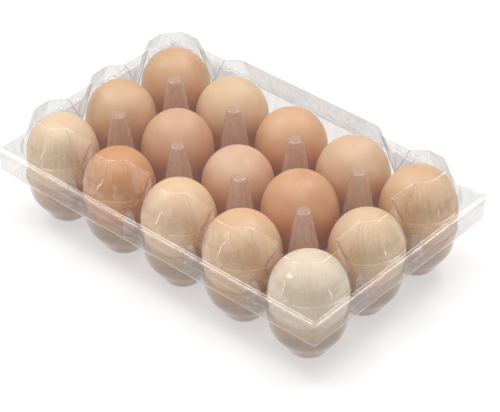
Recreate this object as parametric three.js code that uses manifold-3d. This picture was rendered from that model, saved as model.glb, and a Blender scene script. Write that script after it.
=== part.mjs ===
// Clear thermoformed egg box, shut, with fifteen brown hen's eggs.
// Millimetres, +Z up. X runs along the long side, Y across, the feet stand on z = 0.
// The lid hinges on the back long side (+Y).
import * as THREE from 'three';
import { mergeVertices } from 'three/addons/utils/BufferGeometryUtils.js';
import Module from 'manifold-3d';

const wasm = await Module();
wasm.setup();

// Driving dimensions of the box
const columns = 5;
const rows = 3;
const pitch = 47;
const film = 0.8;
const gap = 0.3;
const rimHalfLength = 123.5;
const rimHalfWidth = 75.5;
const cornerRadius = 3.5;
const webTop = 31.4;
const partingHeight = 48.9;
const panelTop = 72.2;
const pillarTop = 69.9;

// Tray: basin wall under the rim, and the cups
const wallInset = 1.3;
const footInset = 4.4;
const wallCrease = 34.6;
const cupMouthRadius = 23.2;
const cupFlank = [[13.0, 4.0], [21.4, 17.2]];
const bossHeight = 8.8;
const bossTopRadius = 3.2;
const bossBaseRadius = 6.4;
const footOuterRadius = 8.8;

// Hollow pillars between four eggs, and the short posts between two cups at the edge
const pillar = { top: 4.5, waist: 9.8, waistHeight: 41, base: 10.3, edge: 0.8 };
const post = { top: 2.5, waist: 4.2, waistHeight: 37, base: 5, edge: 0.6, height: 45.5 };
const postReach = 17.5;

// Lid: flat panel with a dome over each egg of the edge
const panelReach = 8.5;
const domeTopRadius = 15;
const domeStep = { radius: 21.3, z: 57.2 };
const domeBaseRadius = 25;
const domeEdge = 0.9;
const domeLimit = 3.9;
const label = { halfLength: 52.3, topReach: 15.4, baseReach: 24 };

// Facets round each turned form
const cupSides = 14;
const pillarSides = 8;
const postSides = 6;
const domeSides = 20;
const cornerSides = 3;
const eggSides = 14;
const eggRings = 8;

// Eggs: width, length, lean towards +X and +Y in degrees, and shell colour
const eggRest = bossHeight + gap;
const eggBluntness = 0.13;
const eggs = [
  { column: 0, row: 0, width: 42.8, length: 59.6, lean: [-0.9, -0.8], colour: '#dcbd9a' },
  { column: 1, row: 0, width: 42.0, length: 57.6, lean: [-1.3, -1.1], colour: '#cf9d6c' },
  { column: 2, row: 0, width: 43.0, length: 57.8, lean: [-1.3, -1.2], colour: '#dcb892' },
  { column: 3, row: 0, width: 44.6, length: 59.0, lean: [-0.5, -0.6], colour: '#dfbd98' },
  { column: 4, row: 0, width: 44.6, length: 54.8, lean: [0.7, 0.3], colour: '#e3cdaa' },
  { column: 0, row: 1, width: 42.8, length: 59.0, lean: [0.4, 0.2], colour: '#d8b48c' },
  { column: 1, row: 1, width: 43.2, length: 58.8, lean: [0.1, -0.2], colour: '#d3a581' },
  { column: 2, row: 1, width: 42.4, length: 54.2, lean: [0.5, 0.4], colour: '#dcb695' },
  { column: 3, row: 1, width: 44.6, length: 59.6, lean: [0.2, 0.1], colour: '#d4a379' },
  { column: 4, row: 1, width: 43.2, length: 56.0, lean: [2.2, 2.0], colour: '#e0c19c' },
  { column: 0, row: 2, width: 42.8, length: 58.0, lean: [0.4, 0.5], colour: '#d6ad84' },
  { column: 1, row: 2, width: 44.2, length: 57.0, lean: [-0.1, 0.2], colour: '#dfc09a' },
  { column: 2, row: 2, width: 43.0, length: 56.0, lean: [-0.2, 0.3], colour: '#d9ae84' },
  { column: 3, row: 2, width: 43.8, length: 57.2, lean: [-0.4, 0.2], colour: '#dfbb97' },
  { column: 4, row: 2, width: 44.8, length: 59.0, lean: [1.0, 0.8], colour: '#ddb88e' },
];

const cellX = (column) => (column - (columns - 1) / 2) * pitch;
const cellY = (row) => (row - (rows - 1) / 2) * pitch;
const onEdge = (column, row) =>
  column === 0 || column === columns - 1 || row === 0 || row === rows - 1;

// A closed three.js geometry as a solid that can be joined and cut.
function toSolid(geometry) {
  const bare = geometry.clone();
  bare.deleteAttribute('normal');
  bare.deleteAttribute('uv');
  const merged = mergeVertices(bare, 1e-4);
  const vertProperties = new Float32Array(merged.attributes.position.array);
  const triVerts = new Uint32Array(merged.index.array);
  return new wasm.Manifold(new wasm.Mesh({ numProp: 3, vertProperties, triVerts }));
}

// A solid back as a three.js geometry.
function toGeometry(solid) {
  const { vertProperties, triVerts } = solid.getMesh();
  const geometry = new THREE.BufferGeometry();
  geometry.setAttribute('position', new THREE.BufferAttribute(new Float32Array(vertProperties), 3));
  geometry.setIndex(new THREE.BufferAttribute(new Uint32Array(triVerts), 1));
  geometry.computeVertexNormals();
  return geometry;
}

// A profile of [radius, z] pairs turned round the Z axis; it starts and ends on the axis.
function turned(profile, sides) {
  const points = profile.map(([radius, z]) => new THREE.Vector2(radius, z));
  return new THREE.LatheGeometry(points, sides).rotateX(Math.PI / 2);
}

// A convex rounded rectangle stacked through levels of [inset from the rim, z].
function stacked(levels) {
  const ring = [];
  for (let corner = 0; corner < 4; corner += 1) {
    for (let step = 0; step <= cornerSides; step += 1) {
      const angle = ((corner + step / cornerSides) * Math.PI) / 2;
      ring.push([corner, Math.cos(angle) * cornerRadius, Math.sin(angle) * cornerRadius]);
    }
  }
  const positions = [];
  const faces = [];
  for (const [inset, z] of levels) {
    const reachX = rimHalfLength - inset - cornerRadius;
    const reachY = rimHalfWidth - inset - cornerRadius;
    for (const [corner, roundX, roundY] of ring) {
      const signX = corner === 0 || corner === 3 ? 1 : -1;
      const signY = corner < 2 ? 1 : -1;
      positions.push(signX * reachX + roundX, signY * reachY + roundY, z);
    }
  }
  const size = ring.length;
  const last = (levels.length - 1) * size;
  for (let level = 0; level < last; level += size) {
    for (let k = 0; k < size; k += 1) {
      const next = (k + 1) % size;
      faces.push(level + k, level + next, level + size + next);
      faces.push(level + k, level + size + next, level + size + k);
    }
  }
  for (let k = 1; k < size - 1; k += 1) {
    faces.push(0, k + 1, k);
    faces.push(last, last + k, last + k + 1);
  }
  const geometry = new THREE.BufferGeometry();
  geometry.setAttribute('position', new THREE.Float32BufferAttribute(positions, 3));
  geometry.setIndex(faces);
  return toSolid(geometry);
}

// An upright rectangular block centred on the axis, between two heights.
function block(halfLength, halfWidth, zLow, zHigh) {
  const geometry = new THREE.BoxGeometry(2 * halfLength, 2 * halfWidth, zHigh - zLow);
  return toSolid(geometry.translate(0, 0, (zLow + zHigh) / 2));
}

// Joins many solids into one.
const join = (solids) => wasm.Manifold.union(solids);

// Copies of one solid at the given [x, y] places.
const copies = (solid, places) => places.map(([x, y]) => solid.translate([x, y, 0]));

function cellPlaces(keep) {
  const places = [];
  for (let row = 0; row < rows; row += 1) {
    for (let column = 0; column < columns; column += 1) {
      if (keep(column, row)) places.push([cellX(column), cellY(row)]);
    }
  }
  return places;
}

function pillarPlaces() {
  const places = [];
  for (let row = 0; row < rows - 1; row += 1) {
    for (let column = 0; column < columns - 1; column += 1) {
      places.push([cellX(column + 0.5), cellY(row + 0.5)]);
    }
  }
  return places;
}

function postPlaces() {
  const places = [];
  for (const side of [-1, 1]) {
    for (let column = 0; column < columns - 1; column += 1) {
      places.push([cellX(column + 0.5), side * (cellY(rows - 1) + postReach)]);
    }
    for (let row = 0; row < rows - 1; row += 1) {
      places.push([side * (cellX(columns - 1) + postReach), cellY(row + 0.5)]);
    }
  }
  return places;
}

// A cup: foot ring, raised boss that carries the egg, and a bulging flank.
function cupOutside() {
  return toSolid(turned([
    [0, bossHeight - film],
    [bossTopRadius - film, bossHeight - film],
    [bossBaseRadius, 0],
    [footOuterRadius, 0],
    ...cupFlank,
    [cupMouthRadius, webTop - film / 2],
    [0, webTop - film / 2],
  ], cupSides));
}

function cupInside() {
  return toSolid(turned([
    [0, bossHeight],
    [bossTopRadius, bossHeight],
    [bossBaseRadius + film, film],
    [footOuterRadius - film / 2, film],
    ...cupFlank.map(([radius, z]) => [radius - film, z + film / 4]),
    [cupMouthRadius - film, webTop],
    [cupMouthRadius - film, webTop + film / 2],
    [0, webTop + film / 2],
  ], cupSides));
}

// A tapered finger standing on the web, with a flat top and a broken edge.
function finger(form, height, sides, inset) {
  const low = webTop - film * 1.5 - inset;
  return toSolid(turned([
    [0, low],
    [form.base - inset, low],
    [form.base - inset, webTop],
    [form.waist - inset, form.waistHeight],
    [form.top - inset, height - form.edge - inset],
    [form.top - form.edge - inset / 2, height - inset],
    [0, height - inset],
  ], sides));
}

// The basin: a thin flange, an upright wall and a sloped skirt down to the web.
function basin() {
  const web = webTop - film;
  const outside = stacked([
    [footInset, web],
    [wallInset, wallCrease],
    [wallInset, partingHeight - film],
    [0, partingHeight - film],
    [0, partingHeight],
  ]);
  const inside = stacked([
    [footInset + film, webTop],
    [wallInset + film, wallCrease + film / 2],
    [wallInset + film, partingHeight + 1],
  ]);
  return outside.subtract(inside);
}

function makeTray() {
  const cells = cellPlaces(() => true);
  const added = join([
    basin(),
    ...copies(cupOutside(), cells),
    ...copies(finger(pillar, pillarTop, pillarSides, 0), pillarPlaces()),
    ...copies(finger(post, post.height, postSides, 0), postPlaces()),
  ]);
  const hollows = join([
    ...copies(cupInside(), cells),
    ...copies(finger(pillar, pillarTop, pillarSides, film), pillarPlaces()),
    ...copies(finger(post, post.height, postSides, film), postPlaces()),
  ]);
  return added.subtract(hollows);
}

// A dome over one egg: a fluted upper cone, a step and a wider lower cone.
function dome(low, inset) {
  const top = panelTop - inset;
  return toSolid(turned([
    [0, low],
    [domeBaseRadius - inset, low],
    [domeBaseRadius - inset, partingHeight + gap + film],
    [domeStep.radius - inset, domeStep.z],
    [domeTopRadius - inset, top - domeEdge],
    [domeTopRadius - domeEdge - inset / 2, top],
    [0, top],
  ], domeSides));
}

// The flat sloping stretch at the middle of the back, between the end domes.
function labelStretch(low, inset) {
  const backY = cellY(rows - 1);
  const halfLength = label.halfLength - inset;
  const section = new THREE.Shape([
    new THREE.Vector2(backY, low),
    new THREE.Vector2(backY + label.baseReach - inset, low),
    new THREE.Vector2(backY + label.topReach - inset, panelTop - inset),
    new THREE.Vector2(backY, panelTop - inset),
  ]);
  const along = new THREE.Matrix4().makeBasis(
    new THREE.Vector3(0, 1, 0), new THREE.Vector3(0, 0, 1), new THREE.Vector3(1, 0, 0),
  );
  const options = { depth: 2 * halfLength, bevelEnabled: false };
  const geometry = new THREE.ExtrudeGeometry(section, options).translate(0, 0, -halfLength);
  return toSolid(geometry.applyMatrix4(along));
}

// The outer form of the lid above its flange, drawn in by the given amount.
function lidForm(inset) {
  const low = partingHeight + gap - inset;
  const reach = panelReach - inset;
  const middle = block(
    cellX(columns - 1) + reach, cellY(rows - 1) + reach, low, panelTop - inset,
  );
  const limit = stacked([[domeLimit + inset, low - 1], [domeLimit + inset, panelTop + 1]]);
  const domes = copies(dome(low, inset), cellPlaces(onEdge));
  return join([...domes, middle, labelStretch(low, inset)]).intersect(limit);
}

function makeLid() {
  const low = partingHeight + gap;
  const flange = stacked([[0, low], [0, low + film]]);
  return flange.add(lidForm(0)).subtract(lidForm(film));
}

// An egg standing on its pointed end, a little wider above its middle.
function eggGeometry(width, length) {
  const profile = [];
  const swell = (t) => Math.sqrt(1 - t * t) * (1 + eggBluntness * t);
  const widest = 1 + (eggBluntness * eggBluntness) / 2;
  for (let ring = 0; ring <= eggRings; ring += 1) {
    const t = -Math.cos((Math.PI * ring) / eggRings);
    const onAxis = ring === 0 || ring === eggRings;
    const radius = onAxis ? 0 : (width / 2) * (swell(t) / widest);
    profile.push([radius, (length / 2) * (1 + t)]);
  }
  return turned(profile, eggSides);
}

function named(name, geometry, material) {
  const mesh = new THREE.Mesh(geometry, material);
  mesh.name = name;
  return mesh;
}

const clearFilm = () => new THREE.MeshStandardMaterial({
  color: '#e4e7e6', roughness: 0.12, metalness: 0, transparent: true, opacity: 0.35,
});

const carton = new THREE.Group();
carton.add(named('tray', toGeometry(makeTray()), clearFilm()));
carton.add(named('lid', toGeometry(makeLid()), clearFilm()));
for (const { column, row, width, length, lean, colour } of eggs) {
  const shell = new THREE.MeshStandardMaterial({ color: colour, roughness: 0.55, metalness: 0 });
  const egg = named(`egg_${column + 1}_${row + 1}`, eggGeometry(width, length), shell);
  const [leanX, leanY] = lean.map(THREE.MathUtils.degToRad);
  egg.position.set(cellX(column), cellY(row), eggRest);
  egg.rotation.set(-leanY, leanX, 0);
  carton.add(egg);
}

export default carton;
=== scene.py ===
"""Looks for a clear thermoformed egg box with its eggs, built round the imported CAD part."""

import logging
import math
from dataclasses import dataclass, field
from enum import Enum

import bmesh
import bpy
import numpy as np
from mathutils import Euler, Matrix, Vector
from mathutils.geometry import delaunay_2d_cdt


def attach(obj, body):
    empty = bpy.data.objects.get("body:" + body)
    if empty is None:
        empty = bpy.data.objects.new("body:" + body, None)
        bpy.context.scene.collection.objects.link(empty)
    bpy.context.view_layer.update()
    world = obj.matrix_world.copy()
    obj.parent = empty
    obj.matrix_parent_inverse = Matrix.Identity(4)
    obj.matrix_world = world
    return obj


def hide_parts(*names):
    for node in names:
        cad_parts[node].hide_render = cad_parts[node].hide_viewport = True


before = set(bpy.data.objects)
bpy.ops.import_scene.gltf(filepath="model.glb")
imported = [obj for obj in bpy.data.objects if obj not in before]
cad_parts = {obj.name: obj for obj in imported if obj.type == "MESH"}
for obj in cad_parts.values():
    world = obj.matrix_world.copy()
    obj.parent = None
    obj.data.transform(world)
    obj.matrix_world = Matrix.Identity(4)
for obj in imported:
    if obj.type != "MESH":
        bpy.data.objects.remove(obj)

Colour = tuple[float, float, float, float]
Profile = tuple[tuple[float, float], ...]
HeightTones = tuple[tuple[float, str], ...]

LOG = logging.getLogger("egg_box")
MM = 0.001
WHITE: Colour = (1.0, 1.0, 1.0, 1.0)
BLACK: Colour = (0.0, 0.0, 0.0, 1.0)
# Ramps over height run from the floor to here, in millimetres.
RAMP_TOP = 100.0
# Points of a sheet that are closer than this are one point, in metres.
WELD = 2e-6
# Stands for a wall that isn't there, in millimetres.
FAR = 1e3
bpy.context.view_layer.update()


class Body(Enum):
    """The bodies of the part that a piece can ride on."""

    TRAY = "tray"
    LID = "lid"


class Side(Enum):
    """The way a straight side of the box faces, as a polar angle in degrees."""

    FRONT = -90.0
    RIGHT = 0.0
    BACK = 90.0
    LEFT = 180.0


def linear(hex_colour: str) -> Colour:
    """Turns an sRGB hex colour into the linear values that shaders take.

    Args:
        hex_colour: The colour, such as "#d9b896".

    Returns:
        Red, green, blue and an alpha of 1.
    """
    text = hex_colour.lstrip("#")
    parts = []
    for start in (0, 2, 4):
        value = int(text[start : start + 2], 16) / 255
        low = value <= 0.04045
        parts.append(value / 12.92 if low else ((value + 0.055) / 1.055) ** 2.4)
    return (parts[0], parts[1], parts[2], 1.0)


def smooth_min(a: np.ndarray, b: np.ndarray, width: float) -> np.ndarray:
    """The smaller of two values, with the crossing rounded over a width."""
    blend = np.clip(0.5 + 0.5 * (b - a) / width, 0, 1)
    return b * (1 - blend) + a * blend - width * blend * (1 - blend)


def smooth_max(a: np.ndarray, b: np.ndarray, width: float) -> np.ndarray:
    """The larger of two values, with the crossing rounded over a width."""
    return -smooth_min(-a, -b, width)


def per_metre(size: float) -> float:
    """The scale of a pattern whose features have a size in millimetres."""
    return 1 / (size * MM)


def ease(value: np.ndarray, low: float, high: float) -> np.ndarray:
    """A smooth step from 0 at low to 1 at high."""
    share = np.clip((value - low) / (high - low), 0, 1)
    return share * share * (3 - 2 * share)


def curve_through(knots: list[tuple[float, float]], steps: int) -> np.ndarray:
    """Samples a smooth curve through knots, with centripetal tangents.

    Args:
        knots: The points that the curve passes, in order.
        steps: Samples between two knots.

    Returns:
        The samples, one row per point.
    """
    points = np.array(knots, dtype=float)
    padded = np.vstack([2 * points[0] - points[1], points, 2 * points[-1] - points[-2]])
    samples = []
    for k in range(1, len(padded) - 2):
        p0, p1, p2, p3 = padded[k - 1 : k + 3]
        t1 = np.linalg.norm(p1 - p0) ** 0.5
        t2 = t1 + np.linalg.norm(p2 - p1) ** 0.5
        t3 = t2 + np.linalg.norm(p3 - p2) ** 0.5
        for t in np.linspace(t1, t2, steps, endpoint=False):
            a1 = (t1 - t) / t1 * p0 + t / t1 * p1
            a2 = (t2 - t) / (t2 - t1) * p1 + (t - t1) / (t2 - t1) * p2
            a3 = (t3 - t) / (t3 - t2) * p2 + (t - t2) / (t3 - t2) * p3
            b1 = (t2 - t) / t2 * a1 + t / t2 * a2
            b2 = (t3 - t) / (t3 - t1) * a2 + (t - t1) / (t3 - t1) * a3
            samples.append((t2 - t) / (t2 - t1) * b1 + (t - t1) / (t2 - t1) * b2)
    samples.append(points[-1])
    return np.array(samples)


@dataclass(frozen=True)
class CellGrid:
    """Where the cups stand, in millimetres."""

    columns: int = 5
    rows: int = 3
    pitch: float = 47.0

    def x(self, column: float) -> float:
        """The X of a column's axis."""
        return (column - (self.columns - 1) / 2) * self.pitch

    def y(self, row: float) -> float:
        """The Y of a row's axis."""
        return (row - (self.rows - 1) / 2) * self.pitch


@dataclass(frozen=True)
class Rim:
    """The outline of the box's rim, in millimetres."""

    half_length: float = 123.5
    half_width: float = 75.5
    corner: float = 2.6
    corner_steps: int = 7
    straight_step: float = 4.0

    def outline(self, inset: float) -> np.ndarray:
        """The rim's outline drawn in by an inset, counterclockwise from the front left.

        Args:
            inset: How far inside the rim the outline runs.

        Returns:
            The outline's points, X and Y, not repeated at the end.
        """
        radius = self.corner
        reach_x = self.half_length - inset - radius
        reach_y = self.half_width - inset - radius
        points = []
        corners = [(-1, -1, 180), (1, -1, 270), (1, 1, 0), (-1, 1, 90)]
        for k, (sign_x, sign_y, start) in enumerate(corners):
            centre = np.array([sign_x * reach_x, sign_y * reach_y])
            for step in range(self.corner_steps + 1):
                angle = math.radians(start + 90 * step / self.corner_steps)
                points.append(centre + radius * np.array([math.cos(angle), math.sin(angle)]))
            next_x, next_y, next_start = corners[(k + 1) % 4]
            angle = math.radians(next_start)
            goal = np.array([next_x * reach_x, next_y * reach_y])
            goal = goal + radius * np.array([math.cos(angle), math.sin(angle)])
            last = points[-1]
            full = (self.half_length if k % 2 == 0 else self.half_width) * 2
            count = max(2, round(full / self.straight_step))
            for step in range(1, count):
                points.append(last + (goal - last) * step / count)
        return np.array(points)


class Sheet:
    """Collects the faces of one thin formed sheet, in millimetres."""

    # Points of a level area that are closer than this are one point.
    snap = 1e-6

    def __init__(self) -> None:
        """Starts an empty sheet."""
        self.points: list[np.ndarray] = []
        self.faces: list[tuple[int, ...]] = []
        self.count = 0

    def _add(self, points: np.ndarray) -> int:
        """Adds points.

        Args:
            points: The points, one row each.

        Returns:
            The index of the first of them.
        """
        first = self.count
        self.points.append(points)
        self.count += len(points)
        return first

    def strip(self, rows: np.ndarray, closed: bool = True) -> None:
        """Adds the quads between successive rows of points.

        Args:
            rows: Points as an array of rows by columns by 3.
            closed: Whether the last column joins the first.
        """
        levels, columns, _ = rows.shape
        first = self._add(rows.reshape(-1, 3))
        spans = columns if closed else columns - 1
        for level in range(levels - 1):
            low = first + level * columns
            high = low + columns
            for k in range(spans):
                after = (k + 1) % columns
                self.faces.append((low + k, low + after, high + after, high + k))

    def turned(self, profile: np.ndarray, sides: int, flip: bool = False) -> None:
        """Adds a profile turned round the Z axis; its first point is on the axis.

        Args:
            profile: Radius and height of each point, from the axis outwards.
            sides: How many sides the turned form has.
            flip: Turns the faces over.
        """
        angles = np.arange(sides) * 2 * math.pi / sides
        ring = np.stack([np.cos(angles), np.sin(angles)], axis=1)
        centre = self._add(np.array([[0, 0, profile[0][1]]], dtype=float))
        rows = np.zeros((len(profile) - 1, sides, 3))
        rows[:, :, :2] = profile[1:, 0][:, None, None] * ring[None]
        rows[:, :, 2] = profile[1:, 1][:, None]
        first = self.count
        start = len(self.faces)
        self.strip(rows)
        for k in range(sides):
            self.faces.append((centre, first + (k + 1) % sides, first + k))
        if flip:
            self.faces[start:] = [tuple(reversed(f)) for f in self.faces[start:]]

    def flat(
        self, outline: np.ndarray, holes: list[np.ndarray], inner: np.ndarray, z: float
    ) -> None:
        """Adds a level area with holes.

        Args:
            outline: The area's outer edge.
            holes: The edges of the holes in it.
            inner: Further points inside the area.
            z: The area's height.
        """
        loops = [outline, *holes]
        points = [Vector(p) for loop in loops for p in loop]
        edges = []
        first = 0
        for loop in loops:
            size = len(loop)
            edges += [(first + k, first + (k + 1) % size) for k in range(size)]
            first += size
        points += [Vector(p) for p in inner]
        found = delaunay_2d_cdt(points, edges, [], 2, self.snap)
        placed = np.array([[p.x, p.y, z] for p in found[0]])
        start = self._add(placed)
        self.faces += [tuple(start + k for k in face) for face in found[2]]

    def bead(self, line: np.ndarray, radius: float, sides: int) -> None:
        """Adds a round bead down a line, drawn to a point at both ends.

        Args:
            line: The points that the bead runs through, downwards.
            radius: The bead's radius.
            sides: How many sides it has.
        """
        angles = -np.arange(sides) * 2 * math.pi / sides
        ring = np.stack([np.cos(angles), np.sin(angles), 0 * angles], axis=1)
        radii = np.full(len(line), radius)
        radii[[0, -1]] = 0.0
        self.strip(line[:, None, :] + radii[:, None, None] * ring[None])

    def mesh(self, name: str) -> bpy.types.Mesh:
        """Makes the sheet's mesh in metres, smooth, with its seams joined.

        Args:
            name: The mesh's name.

        Returns:
            The mesh.
        """
        made = bpy.data.meshes.new(name)
        made.from_pydata((np.vstack(self.points) * MM).tolist(), [], self.faces)
        form = bmesh.new()
        form.from_mesh(made)
        bmesh.ops.remove_doubles(form, verts=form.verts, dist=WELD)
        for face in form.faces:
            face.smooth = True
        form.to_mesh(made)
        form.free()
        return made


def add_object(name: str, mesh: bpy.types.Mesh) -> bpy.types.Object:
    """Puts a mesh in the scene.

    Args:
        name: The object's name.
        mesh: Its mesh.

    Returns:
        The object.
    """
    obj = bpy.data.objects.new(name, mesh)
    bpy.context.scene.collection.objects.link(obj)
    return obj


@dataclass(frozen=True)
class NodeGraph:
    """A node tree with a short way to add nodes to it."""

    tree: bpy.types.NodeTree

    def add(self, kind: str, settings: dict | None = None, **links: object) -> bpy.types.Node:
        """Adds a node with its settings and its inputs.

        Args:
            kind: The node's type name.
            settings: Properties of the node, by name.
            links: A value or an output socket for each input; spaces in a name are
                underscores, and i0, i1 and so on name an input by its place.

        Returns:
            The new node.
        """
        node = self.tree.nodes.new(kind)
        for key, value in (settings or {}).items():
            setattr(node, key, value)
        for key, value in links.items():
            by_place = key[0] == "i" and key[1:].isdigit()
            socket = node.inputs[int(key[1:]) if by_place else key.replace("_", " ")]
            if isinstance(value, bpy.types.NodeSocket):
                self.tree.links.new(value, socket)
            else:
                socket.default_value = value
        return node

    def ramp(
        self, factor: bpy.types.NodeSocket, stops: list[tuple[float, Colour]]
    ) -> bpy.types.NodeSocket:
        """Adds a colour ramp.

        Args:
            factor: The value that the ramp reads.
            stops: Places along the ramp, each with its colour; two or more.

        Returns:
            The ramp's colour.
        """
        node = self.add("ShaderNodeValToRGB", i0=factor)
        while len(node.color_ramp.elements) < len(stops):
            node.color_ramp.elements.new(0.5)
        for element, (place, colour) in zip(node.color_ramp.elements, stops):
            element.position = place
            element.color = colour
        return node.outputs["Color"]

    def by_height(
        self, height: bpy.types.NodeSocket, stops: HeightTones
    ) -> bpy.types.NodeSocket:
        """Adds a ramp over height.

        Args:
            height: The height in metres.
            stops: Heights in millimetres, each with its colour; two or more.

        Returns:
            The ramp's colour.
        """
        share = self.math("MULTIPLY", height, 1 / (RAMP_TOP * MM))
        return self.ramp(share, [(z / RAMP_TOP, linear(tone)) for z, tone in stops])

    def outward(
        self, place: bpy.types.NodeSocket, reach: tuple[float, float]
    ) -> bpy.types.NodeSocket:
        """Adds a value that grows from 0 in the box's middle to 1 at a reach.

        Args:
            place: The object coordinates.
            reach: Where the value is 1 along X and along Y, in millimetres.

        Returns:
            The value.
        """
        split = self.add("ShaderNodeSeparateXYZ", Vector=place).outputs
        far_x = self.math("DIVIDE", self.math("ABSOLUTE", split["X"]), reach[0] * MM)
        far_y = self.math("DIVIDE", self.math("ABSOLUTE", split["Y"]), reach[1] * MM)
        return self.math("MAXIMUM", far_x, far_y)

    def product(self, a: object, b: object) -> bpy.types.NodeSocket:
        """Multiplies two colours and returns the result."""
        settings = {"data_type": "RGBA", "blend_type": "MULTIPLY"}
        return self.add("ShaderNodeMix", settings, i0=1.0, i6=a, i7=b).outputs[2]

    def blend(self, share: object, a: object, b: object) -> bpy.types.NodeSocket:
        """Mixes a second colour into the first by a share and returns the result."""
        return self.add("ShaderNodeMix", {"data_type": "RGBA"}, i0=share, i6=a, i7=b).outputs[2]

    def math(self, operation: str, a: object, b: object = 0.0) -> bpy.types.NodeSocket:
        """Adds a maths node and returns its value."""
        return self.add("ShaderNodeMath", {"operation": operation}, i0=a, i1=b).outputs[0]


def new_material(name: str) -> tuple[bpy.types.Material, NodeGraph, bpy.types.Node]:
    """Makes an empty node material.

    Args:
        name: The material's name.

    Returns:
        The material, its node graph and its output node.
    """
    material = bpy.data.materials.new(name)
    material.use_nodes = True
    material.node_tree.nodes.clear()
    graph = NodeGraph(material.node_tree)
    return material, graph, graph.add("ShaderNodeOutputMaterial")


@dataclass(frozen=True)
class FilmFinish:
    """Clear PET film, drawn over a warm mould; on the tray it carries painted shade and painted
    light from the eggs. All lengths are in millimetres.

    Attributes:
        name: The material's name.
        facing: The film's tint where it is seen head on.
        grazing: Its tint where the eye passes along it.
        crinkle: The height bands in which it is finely crinkled.
        gloss: The roughness of its glints.
        index: PET's refractive index.
        both_faces: How much more the film mirrors than one of its faces.
        haze: The share of light that it scatters everywhere.
        milk_and_painted_light: The colour of the scattered light by height, with painted shade
            and egg light in the cups.
        cloud: A further share that it scatters, by height.
        streaks: A further share that its pale streaks scatter.
        streak_heights: The heights between which the streaks run.
        painted_cup_light: Painted shade and painted warm light from the eggs in its tint, by
            height.
        inner: The tint of the light scattered in the box's middle: painted light from the eggs on
            the pillars.
        inner_haze: A further share that the pillars scatter, to carry that painted egg light.
        inner_reach: How far the middle goes along X and along Y.
        inner_fade: The share of that reach at which the middle starts to fade.
        pillar_foot: The height above which the pillars stand clear of the cups.
        ripple_size: How wide a ripple is.
        ripple_depth: How deep it is.
        crinkle_size: How wide a crinkle is.
        crinkle_depth: How deep it is.
        streak_size: How wide a streak is.
        streak_stretch: Its width as a share of its length.
    """

    name: str
    facing: str
    grazing: str
    crinkle: Profile
    gloss: float = 0.055
    index: float = 1.57
    both_faces: float = 1.4
    haze: float = 0.03
    milk_and_painted_light: HeightTones = ((0.0, "#f1eff0"), (RAMP_TOP, "#f1eff0"))
    cloud: HeightTones = ((0.0, "#000000"), (RAMP_TOP, "#000000"))
    streaks: float = 0.0
    streak_heights: tuple[float, float] = (50.5, 71.5)
    painted_cup_light: HeightTones = ((0.0, "#ffffff"), (RAMP_TOP, "#ffffff"))
    inner: str = "#ffffff"
    inner_haze: float = 0.0
    inner_reach: tuple[float, float] = (112.0, 64.0)
    inner_fade: float = 0.94
    pillar_foot: float = 34.0
    ripple_size: float = 6.25
    ripple_depth: float = 0.6
    crinkle_size: float = 0.7692
    crinkle_depth: float = 0.4
    streak_size: float = 2.381
    streak_stretch: float = 0.1

    def build(self) -> bpy.types.Material:
        """Makes the material: see-through, greyer at a slant, with sharp glints.

        Returns:
            The material.
        """
        material, graph, output = new_material(self.name)
        place = graph.add("ShaderNodeTexCoord").outputs["Object"]
        height = graph.add("ShaderNodeSeparateXYZ", Vector=place).outputs["Z"]
        out = graph.outward(place, self.inner_reach)
        relief = self.relief(graph, place, height)
        tint = self.tint(graph, height, relief)
        clear = graph.add("ShaderNodeBsdfTransparent", Color=tint).outputs[0]
        tone = self.scatter_tone(graph, height, out)
        milk_and_painted_light = graph.add("ShaderNodeBsdfDiffuse", Color=tone).outputs[0]
        share = self.scatter_share(graph, place, height, out)
        hazy = graph.add("ShaderNodeMixShader", i0=share, i1=clear, i2=milk_and_painted_light).outputs[0]
        shine = graph.add(
            "ShaderNodeBsdfGlossy", Color=WHITE, Roughness=self.gloss, Normal=relief
        ).outputs[0]
        mirrored = self.mirror_share(graph, relief)
        surface = graph.add("ShaderNodeMixShader", i0=mirrored, i1=hazy, i2=shine).outputs[0]
        graph.tree.links.new(surface, output.inputs["Surface"])
        return material

    def relief(
        self, graph: NodeGraph, place: bpy.types.NodeSocket, height: bpy.types.NodeSocket
    ) -> bpy.types.NodeSocket:
        """Bends the film's normals with its ripples and crinkles.

        Args:
            graph: The material's nodes.
            place: The object coordinates.
            height: Their Z.

        Returns:
            The bent normals.
        """
        # Uneven cooling leaves slow ripples, which break up the glints.
        ripple = graph.add(
            "ShaderNodeTexNoise", Vector=place, Scale=per_metre(self.ripple_size), Detail=2.0
        ).outputs["Fac"]
        rippled = graph.add(
            "ShaderNodeBump", Height=ripple, Strength=0.35, Distance=self.ripple_depth * MM
        ).outputs["Normal"]
        # Where the film was drawn round its tightest edges it is finely crinkled.
        grain = graph.add(
            "ShaderNodeTexNoise", Vector=place, Scale=per_metre(self.crinkle_size), Detail=1.0
        ).outputs["Fac"]
        bands = [self.band(graph, height, low, high) for low, high in self.crinkle]
        edges = bands[0]
        for band in bands[1:]:
            edges = graph.math("ADD", edges, band)
        return graph.add(
            "ShaderNodeBump",
            Height=graph.math("MULTIPLY", grain, edges),
            Strength=0.5,
            Distance=self.crinkle_depth * MM,
            Normal=rippled,
        ).outputs["Normal"]

    def tint(
        self, graph: NodeGraph, height: bpy.types.NodeSocket, relief: bpy.types.NodeSocket
    ) -> bpy.types.NodeSocket:
        """Colours what is seen through the film.

        Args:
            graph: The material's nodes.
            height: The height in metres.
            relief: The film's normals.

        Returns:
            The tint.
        """
        # Film looks clear head on and greyer where the eye passes along it.
        slant = graph.add("ShaderNodeLayerWeight", Blend=0.42, Normal=relief).outputs["Facing"]
        clear = linear(self.facing)
        by_slant = graph.ramp(slant, [(0.0, clear), (0.4, clear), (1.0, linear(self.grazing))])
        # Down in the cups the tint holds painted shade and painted warm light from the eggs.
        return graph.product(by_slant, graph.by_height(height, self.painted_cup_light))

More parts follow.
